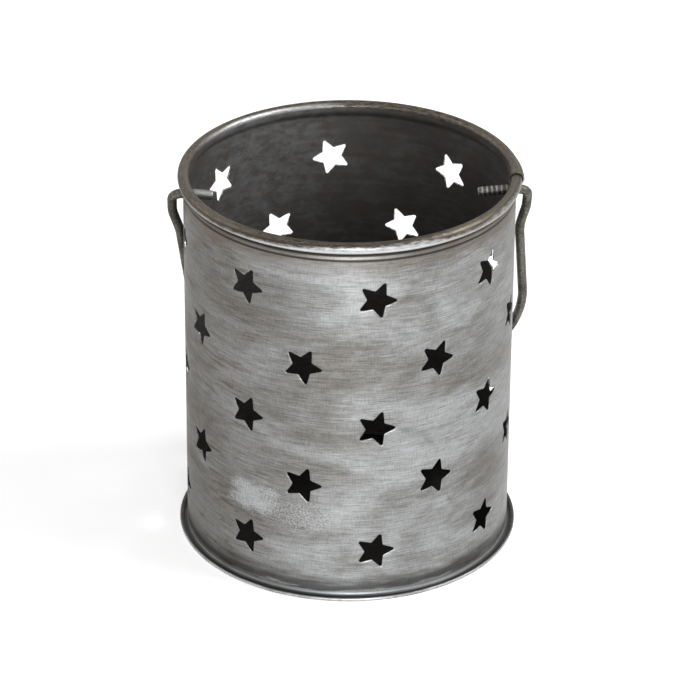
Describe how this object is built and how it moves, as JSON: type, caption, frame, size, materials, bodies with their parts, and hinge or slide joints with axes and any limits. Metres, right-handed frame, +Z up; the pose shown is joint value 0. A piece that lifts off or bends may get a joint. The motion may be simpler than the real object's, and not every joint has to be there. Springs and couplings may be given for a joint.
{
  "type": "punched tin lantern",
  "caption": "Round star-punched sheet-metal candle lantern with a rolled rim, a hemmed flat base and a swinging wire bail.",
  "frame": {"origin": "centre of the round base, on the surface that the lantern stands on", "axes": "+Z up along the can's axis; +X along the bail's pivot line towards the lap seam; +Y towards the side where the bail hangs"},
  "size_m": [0.1231, 0.1165, 0.1325],
  "materials": {
    "aged_tin": "aged, brushed and lightly scuffed tinplate",
    "aged_wire": "dull grey-brown drawn wire"
  },
  "bodies": {
    "can": {"body_shell": "aged_tin", "base_pan": "aged_tin"},
    "bail": {"bail_handle": "aged_wire"}
  },
  "joints": [
    {"name": "bail_swing", "type": "hinge", "parent": "can", "child": "bail", "pos_m": [0, 0, 0.1236], "axis": [1, 0, 0], "range_deg": [0, 303]}
  ]
}
